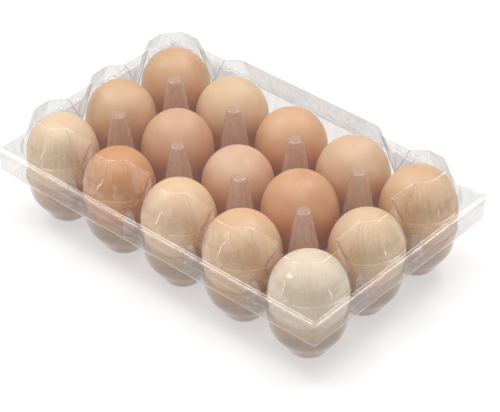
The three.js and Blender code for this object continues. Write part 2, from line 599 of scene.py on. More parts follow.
    def scatter_tone(
        self, graph: NodeGraph, height: bpy.types.NodeSocket, out: bpy.types.NodeSocket
    ) -> bpy.types.NodeSocket:
        """Colours the light that the film scatters, with its painted shade and painted egg light.

        Args:
            graph: The material's nodes.
            height: The height in metres.
            out: How far out from the middle, 1 at its edge.

        Returns:
            The colour.
        """
        # The pillars stand between the eggs, so they get a painted reflection of them all round.
        middle = graph.ramp(out, [(self.inner_fade, linear(self.inner)), (1.0, WHITE)])
        return graph.product(graph.by_height(height, self.milk_and_painted_light), middle)

    def scatter_share(
        self,
        graph: NodeGraph,
        place: bpy.types.NodeSocket,
        height: bpy.types.NodeSocket,
        out: bpy.types.NodeSocket,
    ) -> bpy.types.NodeSocket:
        """Works out how much light the film scatters.

        Args:
            graph: The material's nodes.
            place: The object coordinates.
            height: Their Z.
            out: How far out from the middle, 1 at its edge.

        Returns:
            The share of light.
        """
        # Pale streaks run down the walls, the way the film was drawn.
        stretch = (1.0, 1.0, self.streak_stretch)
        drawn = graph.add("ShaderNodeMapping", Vector=place, Scale=stretch).outputs[0]
        streak = graph.add(
            "ShaderNodeTexNoise", Vector=drawn, Scale=per_metre(self.streak_size), Detail=2.0
        ).outputs["Fac"]
        pale = graph.ramp(streak, [(0.45, BLACK), (0.68, WHITE)])
        wall = self.band(graph, height, *self.streak_heights)
        share = graph.math("MULTIPLY", graph.math("MULTIPLY", pale, wall), self.streaks)
        share = graph.math("ADD", share, self.haze)
        share = graph.math("ADD", share, graph.by_height(height, self.cloud))
        # The pillars scatter more, to carry painted light from the eggs round them.
        middle = graph.ramp(out, [(self.inner_fade, WHITE), (1.0, BLACK)])
        raised = graph.math("GREATER_THAN", height, self.pillar_foot * MM)
        standing = graph.math("MULTIPLY", middle, raised)
        return graph.math("ADD", share, graph.math("MULTIPLY", standing, self.inner_haze))

    def mirror_share(
        self, graph: NodeGraph, relief: bpy.types.NodeSocket
    ) -> bpy.types.NodeSocket:
        """Works out how much light the film mirrors, alike from both sides.

        Args:
            graph: The material's nodes.
            relief: The film's normals.

        Returns:
            The share of light, which grows at a slant.
        """
        edge_on = graph.add("ShaderNodeLayerWeight", Blend=0.5, Normal=relief).outputs["Facing"]
        bare = ((self.index - 1) / (self.index + 1)) ** 2
        rise = graph.math("MULTIPLY", graph.math("POWER", edge_on, 5.0), 1 - bare)
        both = graph.math("MULTIPLY", graph.math("ADD", rise, bare), self.both_faces)
        return graph.math("MINIMUM", both, 1.0)

    @staticmethod
    def band(
        graph: NodeGraph, height: bpy.types.NodeSocket, low: float, high: float
    ) -> bpy.types.NodeSocket:
        """A value that is 1 between two heights in millimetres and 0 elsewhere."""
        above = graph.math("GREATER_THAN", height, low * MM)
        return graph.math("MULTIPLY", above, graph.math("LESS_THAN", height, high * MM))


@dataclass(frozen=True)
class ShellFinish:
    """Brown hen's eggshell, washed: satin, finely pored. All lengths are in millimetres.

    Attributes:
        name: The material's name.
        tone: The shell's colour where its pigment is thin.
        warm: Its colour where the pigment is thick.
        seed: Moves the pigment's pattern, so that no two eggs are alike.
        deep: Painted shade and painted warm bounce light low between its neighbours, by height.
        deep_reach: Where that painted shade has gone along X and along Y.
        deep_fade: The share of that reach at which the painted shade starts to fade.
        speck_tone: The colour of the specks.
        speck_share: How strongly they show.
        cloud_size: How wide a cloud of pigment is.
        speck_size: How wide a speck is.
        pore_size: How far apart the pores are.
        pore_depth: How deep they are.
    """

    name: str
    tone: str
    warm: str
    seed: float
    # Painted shade and painted warm bounce light, low down between the eggs.
    deep: HeightTones = ((28.0, "#ecc8a8"), (40.0, "#f3d7c0"), (58.0, "#ffffff"))
    deep_reach: tuple[float, float] = (108.0, 61.0)
    deep_fade: float = 0.8
    speck_tone: str = "#8f5a3a"
    speck_share: float = 0.16
    cloud_size: float = 14.286
    speck_size: float = 0.6667
    pore_size: float = 0.4545
    pore_depth: float = 0.2

    def build(self) -> bpy.types.Material:
        """Makes the material: mottled pigment, faint specks and pores.

        Returns:
            The material.
        """
        material, graph, output = new_material(self.name)
        place = graph.add("ShaderNodeTexCoord").outputs["Object"]
        offset = (self.seed, self.seed * 0.37, 0.0)
        shifted = graph.add("ShaderNodeMapping", Vector=place, Location=offset).outputs[0]
        pores = graph.add(
            "ShaderNodeTexNoise", Vector=shifted, Scale=per_metre(self.pore_size), Detail=3.0
        ).outputs["Fac"]
        pored = graph.add(
            "ShaderNodeBump", Height=pores, Strength=0.12, Distance=self.pore_depth * MM
        ).outputs["Normal"]
        shell = graph.add(
            "ShaderNodeBsdfPrincipled",
            Base_Color=self.shaded(graph, place, self.pigment(graph, shifted)),
            Roughness=0.48,
            IOR=1.5,
            Normal=pored,
        ).outputs[0]
        graph.tree.links.new(shell, output.inputs["Surface"])
        return material

    def pigment(self, graph: NodeGraph, shifted: bpy.types.NodeSocket) -> bpy.types.NodeSocket:
        """Colours the shell with soft clouds of pigment and pinpoint darker specks.

        Args:
            graph: The material's nodes.
            shifted: The coordinates that the pattern reads.

        Returns:
            The colour.
        """
        cloud = graph.add(
            "ShaderNodeTexNoise", Vector=shifted, Scale=per_metre(self.cloud_size), Detail=4.0
        ).outputs["Fac"]
        body = graph.ramp(cloud, [(0.3, linear(self.warm)), (0.68, linear(self.tone))])
        speck = graph.add(
            "ShaderNodeTexNoise", Vector=shifted, Scale=per_metre(self.speck_size), Detail=2.0
        ).outputs["Fac"]
        dots = graph.ramp(speck, [(0.62, BLACK), (0.74, WHITE)])
        share = graph.math("MULTIPLY", dots, self.speck_share)
        return graph.blend(share, body, linear(self.speck_tone))

    def shaded(
        self, graph: NodeGraph, place: bpy.types.NodeSocket, colour: bpy.types.NodeSocket
    ) -> bpy.types.NodeSocket:
        """Paints shade and warm bounce light from its neighbours on the shell, low down between
        them.

        Args:
            graph: The material's nodes.
            place: The object coordinates.
            colour: The shell's own colour.

        Returns:
            The colour with the painted shade and bounce light.
        """
        height = graph.add("ShaderNodeSeparateXYZ", Vector=place).outputs["Z"]
        deep = graph.product(colour, graph.by_height(height, self.deep))
        out = graph.outward(place, self.deep_reach)
        return graph.blend(graph.ramp(out, [(self.deep_fade, BLACK), (1.0, WHITE)]), deep, colour)


@dataclass(frozen=True)
class FloorFinish:
    """A white acrylic light table, softly lit from below, with broad faint clouds."""

    name: str = "white_light_table"
    tone: str = "#b2b2b2"
    shade: str = "#b0b0b0"
    cloud_size: float = 125.0
    glow: float = 0.5

    def build(self) -> bpy.types.Material:
        """Makes the matte white, faintly glowing material.

        Returns:
            The material.
        """
        material, graph, output = new_material(self.name)
        place = graph.add("ShaderNodeTexCoord").outputs["Object"]
        cloud = graph.add(
            "ShaderNodeTexNoise", Vector=place, Scale=per_metre(self.cloud_size), Detail=2.0
        ).outputs["Fac"]
        tone = graph.ramp(cloud, [(0.3, linear(self.shade)), (0.7, linear(self.tone))])
        matte = graph.add("ShaderNodeBsdfDiffuse", Color=tone).outputs[0]
        light = graph.add("ShaderNodeEmission", Color=WHITE, Strength=self.glow).outputs[0]
        surface = graph.add("ShaderNodeAddShader", i0=matte, i1=light).outputs[0]
        graph.tree.links.new(surface, output.inputs["Surface"])
        return material


@dataclass(frozen=True)
class TurnedForm:
    """A form turned round an upright axis: its profile and how many sides it has."""

    name: str
    knots: Profile
    sides: int
    steps: int
    flip: bool = False

    def mouth(self) -> np.ndarray:
        """Lays out the form's last ring.

        Returns:
            The ring's points about the form's own axis, X and Y.
        """
        radius = self.knots[-1][0]
        angles = np.arange(self.sides) * 2 * math.pi / self.sides
        return radius * np.stack([np.cos(angles), np.sin(angles)], axis=1)

    def build(self) -> bpy.types.Object:
        """Makes the form as an object that node trees repeat.

        Returns:
            The object.
        """
        sheet = Sheet()
        sheet.turned(curve_through(list(self.knots), self.steps), self.sides, self.flip)
        return add_object(self.name, sheet.mesh(self.name))


@dataclass
class Tray:
    """The lower half: cups, hollow pillars, posts, web, wall and flange.

    Attributes:
        grid: Where the cups stand.
        rim: The outline of the rim.
        web_height: The height of the web between the cups.
        post_reach: How far the posts stand outside the outer cups' axes.
        cup: The form of a cup.
        pillar: The form of a pillar.
        post: The form of a post.
        wall: The wall's profile from the web out to the flange: inset and height.
        ring_gap: How far outside a cup's mouth a ring of points shades the web as level.
        form_gap: How far such points stay from every other mouth.
        wall_gap: How far they stay from the wall.
    """

    grid: CellGrid
    rim: Rim
    web_height: float = 31.0
    post_reach: float = 17.5
    ring_gap: float = 0.5
    form_gap: float = 0.45
    wall_gap: float = 0.6
    cup: TurnedForm = TurnedForm(
        "cup_form",
        (
            (0.0, 8.5), (1.6, 8.45), (2.9, 7.9), (4.0, 5.9), (5.2, 2.6), (6.3, 0.75),
            (7.4, 0.12), (8.6, 0.3), (10.2, 1.35), (12.4, 3.5), (15.7, 8.8), (18.9, 13.4),
            (20.9, 17.4), (22.0, 22.2), (22.5, 26.6), (22.75, 29.3), (22.95, 30.4),
            (23.3, 31.0),
        ),
        72,
        2,
        True,
    )
    pillar: TurnedForm = TurnedForm(
        "pillar_form",
        (
            (0.0, 69.75), (2.2, 69.74), (3.5, 69.55), (4.2, 68.9), (4.55, 67.6),
            (5.3, 63.5), (6.5, 56.5), (7.7, 49.0), (8.6, 42.0), (9.1, 36.5), (9.25, 33.0),
            (9.35, 31.6), (9.6, 31.0),
        ),
        44,
        3,
    )
    post: TurnedForm = TurnedForm(
        "post_form",
        (
            (0.0, 45.45), (1.5, 45.4), (2.2, 44.9), (2.6, 43.8), (3.2, 39.8),
            (3.8, 35.5), (4.1, 32.6), (4.3, 31.5), (4.9, 31.0),
        ),
        28,
        2,
    )
    wall: Profile = (
        (4.9, 31.0), (4.3, 31.05), (3.7, 31.5), (2.5, 33.3), (1.95, 34.4), (1.75, 35.4),
        (1.7, 38.0), (1.68, 41.6), (1.62, 42.1), (1.3, 42.5), (1.24, 43.0), (1.22, 45.6),
        (1.2, 47.3), (1.1, 48.0), (0.85, 48.4),
        (0.45, 48.45), (0.15, 48.2), (0.05, 47.7),
    )

    def cups(self) -> list[tuple[float, float]]:
        """Where the cups stand."""
        grid = self.grid
        return [(grid.x(i), grid.y(j)) for j in range(grid.rows) for i in range(grid.columns)]

    def crossings(self) -> list[tuple[float, float]]:
        """Where the pillars stand."""
        grid = self.grid
        return [
            (grid.x(i + 0.5), grid.y(j + 0.5))
            for j in range(grid.rows - 1)
            for i in range(grid.columns - 1)
        ]

    def post_span(self) -> tuple[float, float]:
        """How far apart opposite posts stand along X and along Y."""
        last_x, last_y = self.grid.x(self.grid.columns - 1), self.grid.y(self.grid.rows - 1)
        return 2 * (last_x + self.post_reach), 2 * (last_y + self.post_reach)

    def posts(self) -> list[tuple[float, float]]:
        """Lists where the posts stand.

        Returns:
            The X and Y of each post.
        """
        grid = self.grid
        reach_x, reach_y = (span / 2 for span in self.post_span())
        along = [
            (grid.x(i + 0.5), side * reach_y)
            for side in (-1, 1)
            for i in range(grid.columns - 1)
        ]
        across = [
            (side * reach_x, grid.y(j + 0.5)) for side in (-1, 1) for j in range(grid.rows - 1)
        ]
        return along + across

    def web_and_wall(self) -> bpy.types.Object:
        """Makes the level web, the sloped skirt, the wall and the flange.

        Returns:
            The object that they make up.
        """
        sheet = Sheet()
        rows = []
        for inset, z in curve_through(list(self.wall), 2):
            outline = self.rim.outline(inset)
            rows.append(np.hstack([outline, np.full((len(outline), 1), z)]))
        sheet.strip(np.stack(rows[::-1]))
        holes = [self.cup.mouth() + place for place in self.cups()]
        holes += [self.pillar.mouth() + place for place in self.crossings()]
        holes += [self.post.mouth() + place for place in self.posts()]
        sheet.flat(rows[0][:, :2], holes, self.web_points(), self.web_height)
        return add_object("tray_base", sheet.mesh("tray_base"))

    def web_points(self) -> np.ndarray:
        """Lays points close round the cups, so that the web between them is shaded as level.

        Returns:
            The points, X and Y.
        """
        ring = self.cup.mouth()
        ring = ring / np.linalg.norm(ring, axis=1)[:, None]
        ring = ring * (self.cup.knots[-1][0] + self.ring_gap)
        points = np.concatenate([ring + cup for cup in self.cups()])
        wall_foot = self.wall[0][0]
        keep = np.abs(points[:, 0]) < self.rim.half_length - wall_foot - self.wall_gap
        keep &= np.abs(points[:, 1]) < self.rim.half_width - wall_foot - self.wall_gap
        forms = (
            (self.cup, self.cups()),
            (self.pillar, self.crossings()),
            (self.post, self.posts()),
        )
        for form, places in forms:
            nearest = form.knots[-1][0] + self.form_gap
            for spot in places:
                keep &= np.linalg.norm(points - spot, axis=1) > nearest
        return points[keep]

    def repeat_tree(self) -> bpy.types.NodeTree:
        """Makes the node tree that sets cups, pillars and posts into the web.

        Returns:
            The tree.
        """
        tree = bpy.data.node_groups.new("tray_repeats", "GeometryNodeTree")
        face = tree.interface
        face.new_socket("Web", in_out="INPUT", socket_type="NodeSocketGeometry")
        for name in ("Cup", "Pillar", "Post"):
            face.new_socket(name, in_out="INPUT", socket_type="NodeSocketObject")
        for name in ("Columns", "Rows"):
            face.new_socket(name, in_out="INPUT", socket_type="NodeSocketInt")
        for name in ("Pitch", "Post Span X", "Post Span Y"):
            face.new_socket(name, in_out="INPUT", socket_type="NodeSocketFloat")
        face.new_socket("Finish", in_out="INPUT", socket_type="NodeSocketMaterial")
        face.new_socket("Sheet", in_out="OUTPUT", socket_type="NodeSocketGeometry")
        graph = NodeGraph(tree)
        given = graph.add("NodeGroupInput").outputs
        gaps_x = graph.math("SUBTRACT", given["Columns"], 1.0)
        gaps_y = graph.math("SUBTRACT", given["Rows"], 1.0)
        length = graph.math("MULTIPLY", gaps_x, given["Pitch"])
        width = graph.math("MULTIPLY", gaps_y, given["Pitch"])
        inner_length = graph.math("SUBTRACT", length, given["Pitch"])
        inner_width = graph.math("SUBTRACT", width, given["Pitch"])
        layouts = [
            ("Cup", length, width, given["Columns"], given["Rows"]),
            ("Pillar", inner_length, inner_width, gaps_x, gaps_y),
            ("Post", inner_length, given["Post Span Y"], gaps_x, 2),
            ("Post", given["Post Span X"], inner_width, 2, gaps_y),
        ]
        parts = [given["Web"]]
        for form, size_x, size_y, count_x, count_y in layouts:
            places = graph.add(
                "GeometryNodeMeshGrid", i0=size_x, i1=size_y, i2=count_x, i3=count_y
            )
            shape = graph.add("GeometryNodeObjectInfo", i0=given[form])
            parts.append(
                graph.add(
                    "GeometryNodeInstanceOnPoints",
                    Points=places.outputs["Mesh"],
                    Instance=shape.outputs["Geometry"],
                ).outputs["Instances"]
            )
        joined = graph.add("GeometryNodeJoinGeometry")
        for part in reversed(parts):
            tree.links.new(part, joined.inputs[0])
        real = graph.add("GeometryNodeRealizeInstances", Geometry=joined.outputs[0]).outputs[0]
        welded = graph.add(
            "GeometryNodeMergeByDistance", Geometry=real, Distance=2 * WELD
        ).outputs[0]
        smooth = graph.add("GeometryNodeSetShadeSmooth", Geometry=welded).outputs[0]
        done = graph.add(
            "GeometryNodeSetMaterial", Geometry=smooth, Material=given["Finish"]
        ).outputs[0]
        tree.links.new(done, graph.add("NodeGroupOutput").inputs[0])
        return tree

    def build(self, finish: bpy.types.Material) -> bpy.types.Object:
        """Builds the tray's sheet.

        Args:
            finish: The film's material.

        Returns:
            The finished object.
        """
        base = self.web_and_wall()
        forms = {"Cup": self.cup, "Pillar": self.pillar, "Post": self.post}
        values: dict[str, object] = {name: form.build() for name, form in forms.items()}
        helpers = list(values.values())
        span_x, span_y = self.post_span()
        values |= {
            "Columns": self.grid.columns,
            "Rows": self.grid.rows,
            "Pitch": self.grid.pitch * MM,
            "Post Span X": span_x * MM,
            "Post Span Y": span_y * MM,
            "Finish": finish,
        }
        return settle(base, self.repeat_tree(), values, "tray_film", helpers)


def settle(
    source: bpy.types.Object,
    tree: bpy.types.NodeTree,
    values: dict[str, object],
    name: str,
    helpers: list[bpy.types.Object],
) -> bpy.types.Object:
    """Runs a node tree on an object and keeps the result as a plain mesh.

    Args:
        source: The object that the tree starts from; it is removed.
        tree: The geometry node tree.
        values: The tree's inputs by name.
        name: The finished object's name.
        helpers: Objects that only the tree needs; they are removed.

    Returns:
        The object with the plain mesh.
    """
    modifier = source.modifiers.new(tree.name, "NODES")
    modifier.node_group = tree
    for item in tree.interface.items_tree:
        if item.item_type == "SOCKET" and item.in_out == "INPUT" and item.name in values:
            modifier[item.identifier] = values[item.name]
    graph = bpy.context.evaluated_depsgraph_get()
    graph.update()
    mesh = bpy.data.meshes.new_from_object(source.evaluated_get(graph))
    mesh.name = name
    for spare in [source, *helpers]:
        bpy.data.objects.remove(spare, do_unlink=True)
    return add_object(name, mesh)


@dataclass(frozen=True)
class EdgeCell:
    """A cell at the box's edge and the sides that it faces, in going-round order."""

    column: int
    row: int
    sides: tuple[Side, ...]


@dataclass
class Lid:
    """The upper half: flat panel, a fluted dome over each edge egg, and flange.

    Attributes:
        grid: Where the cups stand.
        rim: The outline of the rim.
        panel_height: The height of the flat panel.
        base_height: The height of the flange.
        panel_reach: How far the panel runs outside the outer cups' axes, between two domes.
        panel_margin: How far inside that the panel's inner points end.
        panel_step: How far apart they are.
        edge: The rounding of the panel's edge: drop below the panel and inset.
        upper: The levels above the wall's fine step: the first one's drop below the panel,
            the last one's height and how many there are.
        step: The heights of the levels round the fine step.
        lower: The levels below it: the first height, the last one and how many there are.
        foot: The rounding at the wall's foot: height and inset.
        wall: A dome's radius and height, from the panel down.
        facet: The angle that one side of a dome's eight-sided top takes up.
        facet_heights: Where a dome is round and where it is eight-sided.
        facet_limit: How far a corner of the eight sides reaches, as a share of the radius.
        dome_limit: How far a dome reaches outside its cup's axis.
        flute_depth: How deep the flutes beside a dome's middle are.
        flute_pitch: How far apart they are, in degrees.
        flute_span: Between which angles off a dome's middle they lie.
        flute_foot: The heights over which they start.
        flute_top: The heights over which they end.
        crease_bead: The radius of the bead down a crease.
        crease_sides: How many sides it has.
        crease_points: How many points it runs through.
        crease_ends: How far below the panel it starts and above the flange it ends.
        crease_turn: How far it is turned towards the gusset, in degrees.
        label_half: Half the length of the flat stretch at the middle of the back.
        label_reach: How far outside the back cups' axes its top and its foot are.
        label_step: How far apart its points are.
        angle_step: How far apart the domes' points are, in degrees.
        flange: The flange's profile out to the rim: inset and height.
        flange_start: Where the first points of the flange lie, as shares of its width.
    """

    grid: CellGrid
    rim: Rim
    panel_height: float = 71.8
    base_height: float = 49.6
    panel_reach: dict[Side, float] = field(
        default_factory=lambda: {
            Side.FRONT: 8.7,
            Side.BACK: 8.7,
            Side.LEFT: 8.3,
            Side.RIGHT: 8.3,
        }
    )
    panel_margin: float = 3.0
    panel_step: float = 5.0
    edge: Profile = ((0.0, 1.5), (0.0, 1.0), (0.08, 0.5), (0.28, 0.18), (0.6, 0.04))
    upper: tuple[float, float, int] = (1.1, 57.6, 12)
    step: tuple[float, ...] = (57.3, 57.1, 56.9, 56.4)
    lower: tuple[float, float, int] = (55.4, 50.9, 5)
    foot: Profile = ((50.3, 0.0), (49.9, -0.12), (49.65, -0.5))
    wall: Profile = ((15.5, 71.1), (21.0, 57.8), (21.6, 56.9), (24.7, 50.2))
    facet: float = 45.0
    facet_heights: tuple[float, float] = (52.0, 70.0)
    facet_limit: float = 1.07
    dome_limit: float = 24.5
    flute_depth: float = 0.6
    flute_pitch: float = 8.6
    flute_span: tuple[float, float] = (21.0, 66.0)
    flute_foot: tuple[float, float] = (57.2, 57.9)
    flute_top: tuple[float, float] = (70.9, 71.7)
    crease_bead: float = 0.42
    crease_sides: int = 10
    crease_points: int = 14
    crease_ends: tuple[float, float] = (0.3, 0.6)
    crease_turn: float = 0.6
    label_half: float = 52.3
    label_reach: tuple[float, float] = (15.3, 23.9)
    label_step: float = 2.0
    angle_step: float = 1.0
    flange: Profile = (
        (3.9, 49.58), (3.5, 49.6), (3.25, 49.84), (3.0, 49.92), (2.75, 49.84), (2.5, 49.6),
        (2.2, 49.58), (1.9, 49.6), (1.65, 49.84), (1.4, 49.92), (1.15, 49.84), (0.9, 49.6),
        (0.6, 49.57), (0.35, 49.5), (0.12, 49.38), (0.02, 49.24),
    )
    flange_start: tuple[float, ...] = (0.04, 0.12, 0.4)

    def cells(self) -> list[EdgeCell]:
        """Lists the edge cells, counterclockwise from the front left corner.

        Returns:
            The cells.
        """
        last_x = self.grid.columns - 1
        last_y = self.grid.rows - 1
        found = [EdgeCell(0, 0, (Side.LEFT, Side.FRONT))]
        found += [EdgeCell(i, 0, (Side.FRONT,)) for i in range(1, last_x)]
        found.append(EdgeCell(last_x, 0, (Side.FRONT, Side.RIGHT)))
        found += [EdgeCell(last_x, j, (Side.RIGHT,)) for j in range(1, last_y)]
        found.append(EdgeCell(last_x, last_y, (Side.RIGHT, Side.BACK)))
        found += [EdgeCell(i, last_y, (Side.BACK,)) for i in range(last_x - 1, 0, -1)]
        found.append(EdgeCell(0, last_y, (Side.BACK, Side.LEFT)))
        found += [EdgeCell(0, j, (Side.LEFT,)) for j in range(last_y - 1, 0, -1)]
        return found

    def axis(self, cell: EdgeCell) -> np.ndarray:
        """The X and Y of a cell's axis."""
        return np.array([self.grid.x(cell.column), self.grid.y(cell.row)])

    def end_angle(self, side: Side) -> float:
        """The angle off a side's outward way at which two cells meet."""
        return math.degrees(math.atan2(self.grid.pitch / 2, self.panel_reach[side]))

    def levels(self) -> list[tuple[float, float]]:
        """Lists the heights at which the wall is laid out.

        Returns:
            The heights from the panel down, each with how far the wall is drawn in there.
        """
        rounding = [(self.panel_height - drop, inset) for drop, inset in self.edge]
        drop, bottom, count = self.upper
        upper = np.linspace(self.panel_height - drop, bottom, count)
        straight = [(z, 0.0) for z in [*upper, *self.step, *np.linspace(*self.lower)]]
        return rounding + straight + list(self.foot)

    def dome_radius(self, z: float) -> float:
        """A dome's radius at a height."""
        radii, heights = zip(*self.wall[::-1])
        return float(np.interp(z, heights, radii))

    def dome(self, angles: np.ndarray, z: float) -> np.ndarray:
        """Lays out a whole dome, round at its foot and eight-sided at its top.

        Args:
            angles: Polar angles round the dome's axis, in degrees.
            z: The height.

        Returns:
            The dome's distance from its axis at each angle.
        """
        radius = self.dome_radius(z)
        squareness = ease(np.array([z]), *self.facet_heights)[0]
        turn = np.radians((angles + self.facet / 2) % self.facet - self.facet / 2)
        corners = np.full_like(turn, radius * self.facet_limit)
        eight_sided = smooth_min(radius / np.cos(turn), corners, 0.5)
        return radius + (eight_sided - radius) * squareness

    def flutes(self, nearest: np.ndarray, z: float) -> np.ndarray:
        """Lays out the flutes beside a dome's middle.

        Args:
            nearest: The angle off the nearest outward way, in degrees.
            z: The height.

        Returns:
            How deep the flutes are at each angle.
        """
        low, high = self.flute_span
        fade = ease(nearest, low - 1, low + 2) * (1 - ease(nearest, high - 3, high))
        level = np.array([z])
        height = ease(level, *self.flute_foot)[0] * (1 - ease(level, *self.flute_top)[0])
        ridge = np.abs(np.sin(np.radians((nearest - low) / self.flute_pitch * 180)))
        return self.flute_depth * fade * height * (1 - ridge)

    def reach(self, cell: EdgeCell, angles: np.ndarray, z: float, inset: float) -> np.ndarray:
        """How far the lid's wall is from a cell's axis.

        Args:
            cell: The edge cell.
            angles: Polar angles round the cell's axis, in degrees.
            z: The height.
            inset: How far the wall is drawn in there.

        Returns:
            The distance for each angle.
        """
        offsets = np.stack([self.off_angle(angles, side) for side in cell.sides])
        wall = self.dome(angles, z) - self.flutes(np.abs(offsets).min(axis=0), z)
        # Beside a dome the wall stands out no less than the gusset's plane does.
        shallow = 0.05
        facing = np.maximum(np.cos(np.radians(offsets)), shallow)
        planes = np.array([[self.panel_reach[side]] for side in cell.sides])
        gusset = np.where(facing > shallow, planes / facing, FAR).min(axis=0)
        wall = smooth_max(wall, gusset, 0.7)
        # Two neighbouring cells meet halfway between their axes.
        meeting = np.radians(np.maximum(-offsets[0], offsets[-1]))
        slanted = 0.7
        halfway = self.grid.pitch / 2 / np.sin(np.clip(meeting, slanted, 1.57))
        wall = np.minimum(wall, np.where(meeting > slanted, halfway, FAR))
        for row in facing:
            wall = smooth_min(wall, self.dome_limit / row, 1.2)
        return wall - inset

    @staticmethod
    def off_angle(angles: np.ndarray, side: Side) -> np.ndarray:
        """Angles counted from a side's outward way, between -180 and 180."""
        return (angles - side.value + 180) % 360 - 180

    def column_angles(self, cell: EdgeCell) -> np.ndarray:
        """Lists the polar angles of a cell's columns, counterclockwise.

        Args:
            cell: The edge cell.

        Returns:
            The angles in degrees, without the one at which the next cell starts.
        """
        first, last = cell.sides[0], cell.sides[-1]
        start = first.value - self.end_angle(first)
        stop = last.value + self.end_angle(last)
        while stop < start:
            stop += 360
        count = round((stop - start) / self.angle_step)
        return np.linspace(start, stop, count, endpoint=False)

    def crease(self, cell: EdgeCell, side: Side, sign: int) -> np.ndarray:
        """Lays out the line down which a dome meets the gusset beside it.

        Args:
            cell: The dome's cell.
            side: The side that the gusset faces.
            sign: Which way round the cell the gusset lies, 1 or -1.

        Returns:
            The line's points, from the panel down.
        """
        start = self.panel_height - self.crease_ends[0]
        stop = self.base_height + self.crease_ends[1]
        points = []
        for z in np.linspace(start, stop, self.crease_points):
            off = math.degrees(math.acos(self.panel_reach[side] / self.dome_radius(z)))
            angle = side.value + sign * (off + self.crease_turn)
            way = np.array([math.cos(math.radians(angle)), math.sin(math.radians(angle))])
            spot = self.axis(cell) + way * self.reach(cell, np.array([angle]), z, 0.0)[0]
            points.append([spot[0], spot[1], z])
        return np.array(points)

    def creases(self) -> list[np.ndarray]:
        """Lays out the creases on both sides of every gusset.

        Returns:
            The creases' points, from the panel down.
        """
        found = []
        for cell in self.cells():
            for side, sign in ((cell.sides[0], -1), (cell.sides[-1], 1)):
                # No gusset adjoins the flat stretch at the middle of the back.
                if cell.sides != (Side.BACK,) or sign * self.grid.x(cell.column) < 0:
                    found.append(self.crease(cell, side, sign))
        return found

    def wall_rows(self) -> np.ndarray:
        """Lays out the lid's wall.

        Returns:
            Its points, level by level, going round counterclockwise.
        """
        levels = self.levels()
        blocks = []
        for cell in self.cells():
            axis = self.axis(cell)
            angles = self.column_angles(cell)
            if cell.sides == (Side.BACK,):
                if axis[0] == 0:
                    # The flat stretch takes up the whole of the middle cell.
                    blocks.append(self.label_rows(levels))
                    continue
                outward = -self.off_angle(angles, Side.BACK) * np.sign(axis[0])
                beyond = (self.label_half - abs(axis[0])) / self.label_reach[0]
                angles = angles[outward > math.degrees(math.asin(beyond))]
            ways = np.stack([np.cos(np.radians(angles)), np.sin(np.radians(angles))], axis=1)
            block = np.zeros((len(levels), len(angles), 3))
            for k, (z, inset) in enumerate(levels):
                reach = self.reach(cell, angles, z, inset)
                block[k, :, :2] = axis + ways * reach[:, None]
                block[k, :, 2] = z
            blocks.append(block)
        return np.concatenate(blocks, axis=1)

    def label_rows(self, levels: list[tuple[float, float]]) -> np.ndarray:
        """Lays out the flat stretch at the middle of the back.

        Args:
            levels: The wall's heights, each with how far the wall is drawn in there.

        Returns:
            The stretch's points, level by level.
        """
        across = np.arange(self.label_half, -self.label_half - 0.1, -self.label_step)
        block = np.zeros((len(levels), len(across), 3))
        near, far = self.label_reach
        back = self.grid.y(self.grid.rows - 1)
        for k, (z, inset) in enumerate(levels):
            share = (self.panel_height - z) / (self.panel_height - self.base_height)
            block[k, :, 0] = across
            block[k, :, 1] = back + near + (far - near) * share - inset
            block[k, :, 2] = z
        return block

    def rim_row(self, base: np.ndarray, inset: float, z: float) -> np.ndarray:
        """Runs the points of the wall's foot straight out to the rim.

        Args:
            base: The points of the wall's lowest level.
            inset: How far inside the rim's outline the new points lie.
            z: Their height.

        Returns:
            One point for each given point.
        """
        corner = np.array([self.grid.x(self.grid.columns - 1), self.grid.y(self.grid.rows - 1)])
        reach = np.array([self.rim.half_length - inset, self.rim.half_width - inset]) - corner
        flat = base[:, :2]
        out = np.abs(flat) - corner
        tiny, never = 1e-6, 1e9
        growth = np.where(out > 0, reach / np.maximum(out, tiny), never)
        growth = growth.min(axis=1, keepdims=True)
        grown = np.where(out > 0, corner + np.minimum(out * growth, reach), np.abs(flat))
        return np.hstack([np.sign(flat) * grown, np.full((len(flat), 1), z)])

    def build(self, finish: bpy.types.Material) -> bpy.types.Object:
        """Builds the lid's sheet.

        Args:
            finish: The film's material.

        Returns:
            The finished object.
        """
        wall = self.wall_rows()
        base = wall[-1]
        rim = [self.rim_row(base, inset, z) for inset, z in self.flange]
        start = [base + (rim[0] - base) * share for share in self.flange_start]
        sheet = Sheet()
        sheet.strip(np.concatenate([wall, np.stack(start + rim)])[::-1])
        margin = min(self.panel_reach.values()) - self.panel_margin
        inner_x = self.grid.x(self.grid.columns - 1) + margin
        inner_y = self.grid.y(self.grid.rows - 1) + margin
        mesh_x, mesh_y = np.meshgrid(
            np.arange(-inner_x, inner_x, self.panel_step),
            np.arange(-inner_y, inner_y, self.panel_step),
        )
        inner = np.stack([mesh_x.ravel(), mesh_y.ravel()], axis=1)
        sheet.flat(wall[0, :, :2], [], inner, self.panel_height)
        for line in self.creases():
            sheet.bead(line, self.crease_bead, self.crease_sides)
        mesh = sheet.mesh("lid_film")
        mesh.materials.append(finish)
        return add_object("lid_film", mesh)


@dataclass(frozen=True)
class Egg:
    """One hen's egg: its cell, size in millimetres, lean in degrees and shell colours."""

    column: int
    row: int
    width: float
    length: float
    lean: tuple[float, float]
    tone: str
    warm: str

    @property
    def node(self) -> str:
        """The CAD node that this egg stands for."""
        return f"egg_{self.column + 1}_{self.row + 1}"

    @property
    def seed(self) -> float:
        """The seed of this egg's own unevenness."""
        return float(self.column * 7 + self.row * 31)


